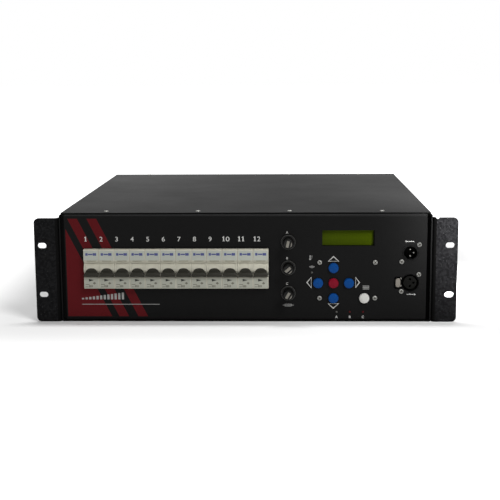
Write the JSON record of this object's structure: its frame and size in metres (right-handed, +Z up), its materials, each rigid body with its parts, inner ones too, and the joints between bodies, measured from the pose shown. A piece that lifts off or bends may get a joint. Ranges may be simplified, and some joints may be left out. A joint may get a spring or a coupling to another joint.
{
  "type": "dimmer rack",
  "caption": "Rack-mount stage dimmer in a black steel case with breaker row, fuse caps, keypad, green display, signal sockets and rear fans and outlets.",
  "frame": {"origin": "middle of the bounding box's underside, on the surface that the case stands on", "axes": "+X to the right and +Y to the back as seen from the front, +Z up"},
  "size_m": [0.4826, 0.476, 0.1264],
  "materials": {
    "satin_coat": "satin black powder coat",
    "textured_coat": "fine-textured black powder coat",
    "breaker_moulding": "warm grey moulded plastic",
    "toggle_black": "black moulded plastic",
    "moulding_black": "black moulded plastic",
    "zinc_steel": "zinc-plated",
    "satin_nickel": "satin nickel plate",
    "sink_aluminium": "extruded, plain",
    "board_green": "green solder mask",
    "display_green": "unlit green display glass",
    "winding_copper": "enamelled copper winding",
    "core_steel": "varnished steel laminations",
    "key_blue": "blue moulded plastic",
    "key_red": "red moulded plastic",
    "key_white": "white moulded plastic",
    "terminal_grey": "grey moulded plastic"
  },
  "bodies": {
    "case": {"chassis_tray": "satin_coat", "top_cover": "satin_coat", "front_panel": "satin_coat", "rear_panel": "satin_coat", "rack_ear_left": "textured_coat", "rack_ear_right": "textured_coat", "breaker_body_01": "breaker_moulding", "breaker_body_02": "breaker_moulding", "breaker_body_03": "breaker_moulding", "breaker_body_04": "breaker_moulding", "breaker_body_05": "breaker_moulding", "breaker_body_06": "breaker_moulding", "breaker_body_07": "breaker_moulding", "breaker_body_08": "breaker_moulding", "breaker_body_09": "breaker_moulding", "breaker_body_10": "breaker_moulding", "breaker_body_11": "breaker_moulding", "breaker_body_12": "breaker_moulding", "din_rail": "zinc_steel", "fuse_holder_a": "moulding_black", "fuse_holder_b": "moulding_black", "fuse_holder_c": "moulding_black", "display_module": "display_green", "control_board": "board_green", "signal_inlet": "moulding_black", "signal_link": "moulding_black", "heat_sink": "sink_aluminium", "power_board": "board_green", "choke_bank": "winding_copper", "control_transformer": "core_steel", "mains_terminal": "terminal_grey", "fan_frame_left": "moulding_black", "fan_frame_right": "moulding_black", "output_socket_left": "moulding_black", "output_socket_right": "moulding_black", "cable_gland": "moulding_black"},
    "toggle_01": {"breaker_toggle_01": "toggle_black"},
    "toggle_02": {"breaker_toggle_02": "toggle_black"},
    "toggle_03": {"breaker_toggle_03": "toggle_black"},
    "toggle_04": {"breaker_toggle_04": "toggle_black"},
    "toggle_05": {"breaker_toggle_05": "toggle_black"},
    "toggle_06": {"breaker_toggle_06": "toggle_black"},
    "toggle_07": {"breaker_toggle_07": "toggle_black"},
    "toggle_08": {"breaker_toggle_08": "toggle_black"},
    "toggle_09": {"breaker_toggle_09": "toggle_black"},
    "toggle_10": {"breaker_toggle_10": "toggle_black"},
    "toggle_11": {"breaker_toggle_11": "toggle_black"},
    "toggle_12": {"breaker_toggle_12": "toggle_black"},
    "cap_a": {"fuse_cap_a": "moulding_black"},
    "cap_b": {"fuse_cap_b": "moulding_black"},
    "cap_c": {"fuse_cap_c": "moulding_black"},
    "key_up": {"button_up": "key_blue"},
    "key_left": {"button_left": "key_blue"},
    "key_enter": {"button_enter": "key_red"},
    "key_right": {"button_right": "key_blue"},
    "key_down": {"button_down": "key_blue"},
    "key_menu": {"button_menu": "key_white"},
    "latch": {"link_latch": "satin_nickel"},
    "rotor_left": {"fan_rotor_left": "moulding_black"},
    "rotor_right": {"fan_rotor_right": "moulding_black"}
  },
  "joints": [
    {"name": "toggle_01_swing", "type": "hinge", "parent": "case", "child": "toggle_01", "pos_m": [-0.1755, -0.2195, 0.0627], "axis": [-1, 0, 0], "range_deg": [0, 64]},
    {"name": "toggle_02_swing", "type": "hinge", "parent": "case", "child": "toggle_02", "pos_m": [-0.1579, -0.2195, 0.0627], "axis": [-1, 0, 0], "range_deg": [0, 64]},
    {"name": "toggle_03_swing", "type": "hinge", "parent": "case", "child": "toggle_03", "pos_m": [-0.1403, -0.2195, 0.0627], "axis": [-1, 0, 0], "range_deg": [0, 64]},
    {"name": "toggle_04_swing", "type": "hinge", "parent": "case", "child": "toggle_04", "pos_m": [-0.1227, -0.2195, 0.0627], "axis": [-1, 0, 0], "range_deg": [0, 64]},
    {"name": "toggle_05_swing", "type": "hinge", "parent": "case", "child": "toggle_05", "pos_m": [-0.1051, -0.2195, 0.0627], "axis": [-1, 0, 0], "range_deg": [0, 64]},
    {"name": "toggle_06_swing", "type": "hinge", "parent": "case", "child": "toggle_06", "pos_m": [-0.0875, -0.2195, 0.0627], "axis": [-1, 0, 0], "range_deg": [0, 64]},
    {"name": "toggle_07_swing", "type": "hinge", "parent": "case", "child": "toggle_07", "pos_m": [-0.0699, -0.2195, 0.0627], "axis": [-1, 0, 0], "range_deg": [0, 64]},
    {"name": "toggle_08_swing", "type": "hinge", "parent": "case", "child": "toggle_08", "pos_m": [-0.0523, -0.2195, 0.0627], "axis": [-1, 0, 0], "range_deg": [0, 64]},
    {"name": "toggle_09_swing", "type": "hinge", "parent": "case", "child": "toggle_09", "pos_m": [-0.0347, -0.2195, 0.0627], "axis": [-1, 0, 0], "range_deg": [0, 64]},
    {"name": "toggle_10_swing", "type": "hinge", "parent": "case", "child": "toggle_10", "pos_m": [-0.0171, -0.2195, 0.0627], "axis": [-1, 0, 0], "range_deg": [0, 64]},
    {"name": "toggle_11_swing", "type": "hinge", "parent": "case", "child": "toggle_11", "pos_m": [0.0005, -0.2195, 0.0627], "axis": [-1, 0, 0], "range_deg": [0, 64]},
    {"name": "toggle_12_swing", "type": "hinge", "parent": "case", "child": "toggle_12", "pos_m": [0.0181, -0.2195, 0.0627], "axis": [-1, 0, 0], "range_deg": [0, 64]},
    {"name": "fuse_cap_a_turn", "type": "hinge", "parent": "case", "child": "cap_a", "pos_m": [0.0493, -0.222, 0.0928], "axis": [0, -1, 0], "range_deg": [0, 90]},
    {"name": "fuse_cap_b_turn", "type": "hinge", "parent": "case", "child": "cap_b", "pos_m": [0.0493, -0.222, 0.0632], "axis": [0, -1, 0], "range_deg": [0, 90]},
    {"name": "fuse_cap_c_turn", "type": "hinge", "parent": "case", "child": "cap_c", "pos_m": [0.0493, -0.222, 0.0336], "axis": [0, -1, 0], "range_deg": [0, 90]},
    {"name": "key_up_press", "type": "slide", "parent": "case", "child": "key_up", "axis": [0, 1, 0], "range_m": [0, 0.001], "stiffness_N_per_m": 400, "springref_m": -0.001},
    {"name": "key_left_press", "type": "slide", "parent": "case", "child": "key_left", "axis": [0, 1, 0], "range_m": [0, 0.001], "stiffness_N_per_m": 400, "springref_m": -0.001},
    {"name": "key_enter_press", "type": "slide", "parent": "case", "child": "key_enter", "axis": [0, 1, 0], "range_m": [0, 0.001], "stiffness_N_per_m": 400, "springref_m": -0.001},
    {"name": "key_right_press", "type": "slide", "parent": "case", "child": "key_right", "axis": [0, 1, 0], "range_m": [0, 0.001], "stiffness_N_per_m": 400, "springref_m": -0.001},
    {"name": "key_down_press", "type": "slide", "parent": "case", "child": "key_down", "axis": [0, 1, 0], "range_m": [0, 0.001], "stiffness_N_per_m": 400, "springref_m": -0.001},
    {"name": "key_menu_press", "type": "slide", "parent": "case", "child": "key_menu", "axis": [0, 1, 0], "range_m": [0, 0.001], "stiffness_N_per_m": 400, "springref_m": -0.001},
    {"name": "link_latch_press", "type": "slide", "parent": "case", "child": "latch", "axis": [0, 1, 0], "range_m": [0, 0.002], "stiffness_N_per_m": 400, "springref_m": -0.001},
    {"name": "fan_rotor_left_spin", "type": "hinge", "parent": "case", "child": "rotor_left", "pos_m": [0.06, 0.1933, 0.062], "axis": [0, 1, 0], "continuous": true},
    {"name": "fan_rotor_right_spin", "type": "hinge", "parent": "case", "child": "rotor_right", "pos_m": [0.15, 0.1933, 0.062], "axis": [0, 1, 0], "continuous": true}
  ]
}
